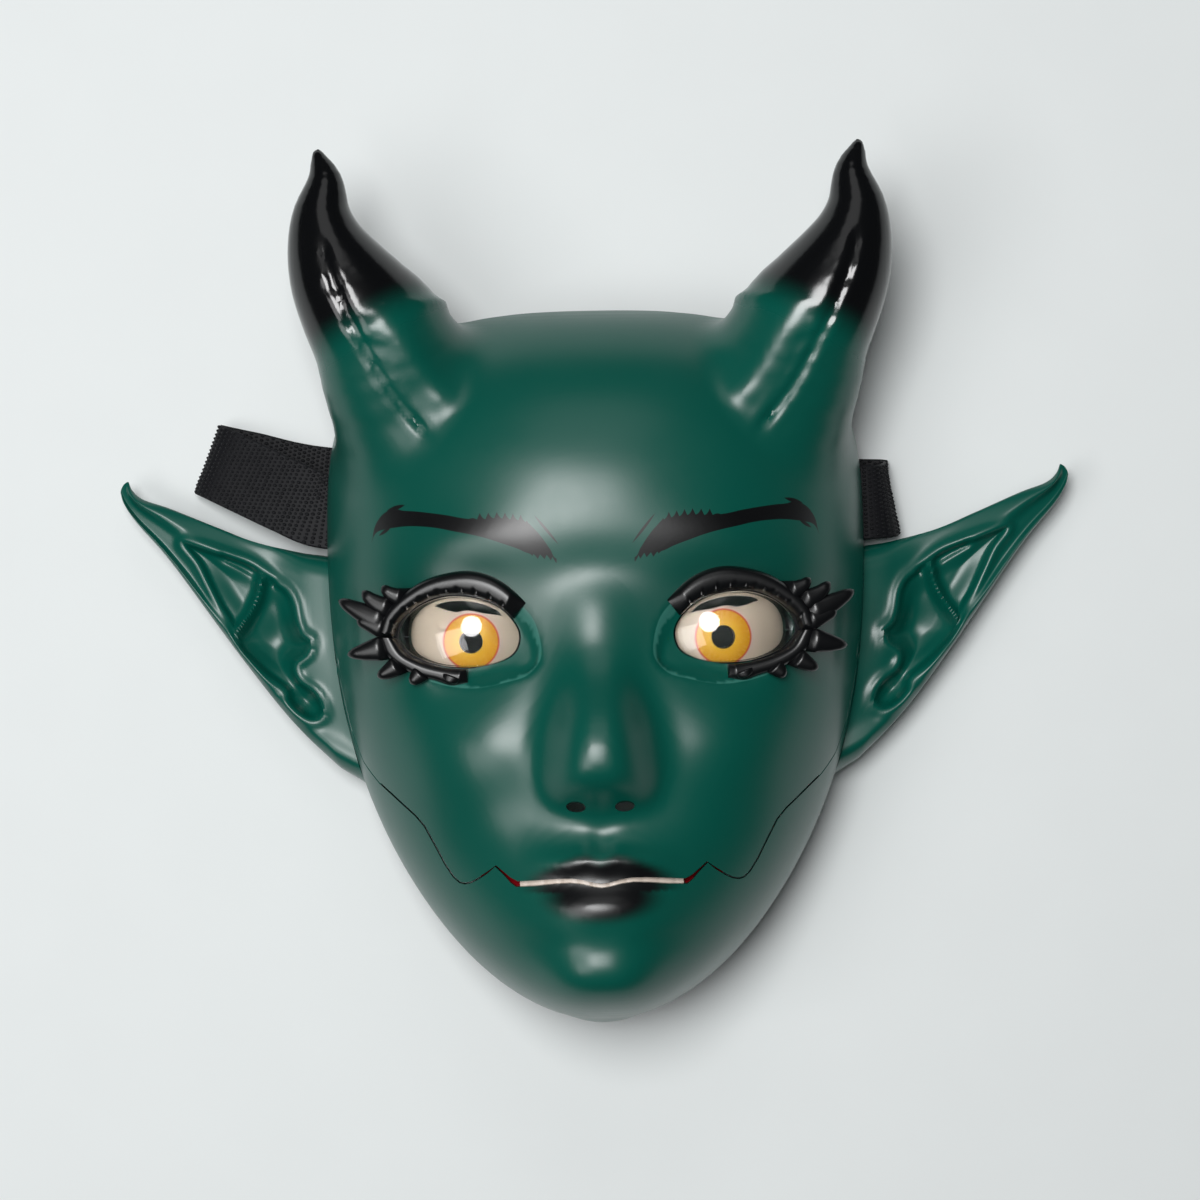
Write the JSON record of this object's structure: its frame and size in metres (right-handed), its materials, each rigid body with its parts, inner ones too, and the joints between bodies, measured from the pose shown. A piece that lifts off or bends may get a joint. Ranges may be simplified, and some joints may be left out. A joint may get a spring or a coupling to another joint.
{
  "type": "horned creature mask",
  "caption": "Face mask of a horned, elf-eared creature with glazed eyes, moulded lashes, a hinged jaw and an elastic head strap.",
  "frame": {"origin": "centre of the bounding box in plan, on the surface the back rim lies on", "axes": "+X across the face towards the viewer's right, +Y from chin to horns, +Z out of the face, with the mask lying face up"},
  "size_m": [0.3206, 0.2854, 0.1113],
  "materials": {
    "green_shell": "satin teal green, horns and brows airbrushed black",
    "eye_print": "cream print with an amber iris",
    "clear_lens": "clear, polished",
    "black_gloss": "gloss black",
    "teeth_cream": "satin cream",
    "mouth_red": "satin dark red",
    "webbing": "ribbed elastic webbing"
  },
  "bodies": {
    "face": {"face_shell": "green_shell", "right_ear": "green_shell", "left_ear": "green_shell", "right_eye": "eye_print", "left_eye": "eye_print", "right_lens": "clear_lens", "left_lens": "clear_lens", "right_upper_lash": "black_gloss", "left_upper_lash": "black_gloss", "right_lower_lash": "black_gloss", "left_lower_lash": "black_gloss", "teeth": "teeth_cream", "mouth_lining": "mouth_red", "strap": "webbing"},
    "jaw": {"jaw": "green_shell"}
  },
  "joints": [
    {"name": "jaw_hinge", "type": "hinge", "parent": "face", "child": "jaw", "pos_m": [0, -0.0254, 0.022], "axis": [1, 0, 0], "range_deg": [0, 12], "stiffness_Nm_per_rad": 0.15, "springref_deg": -28.65}
  ]
}
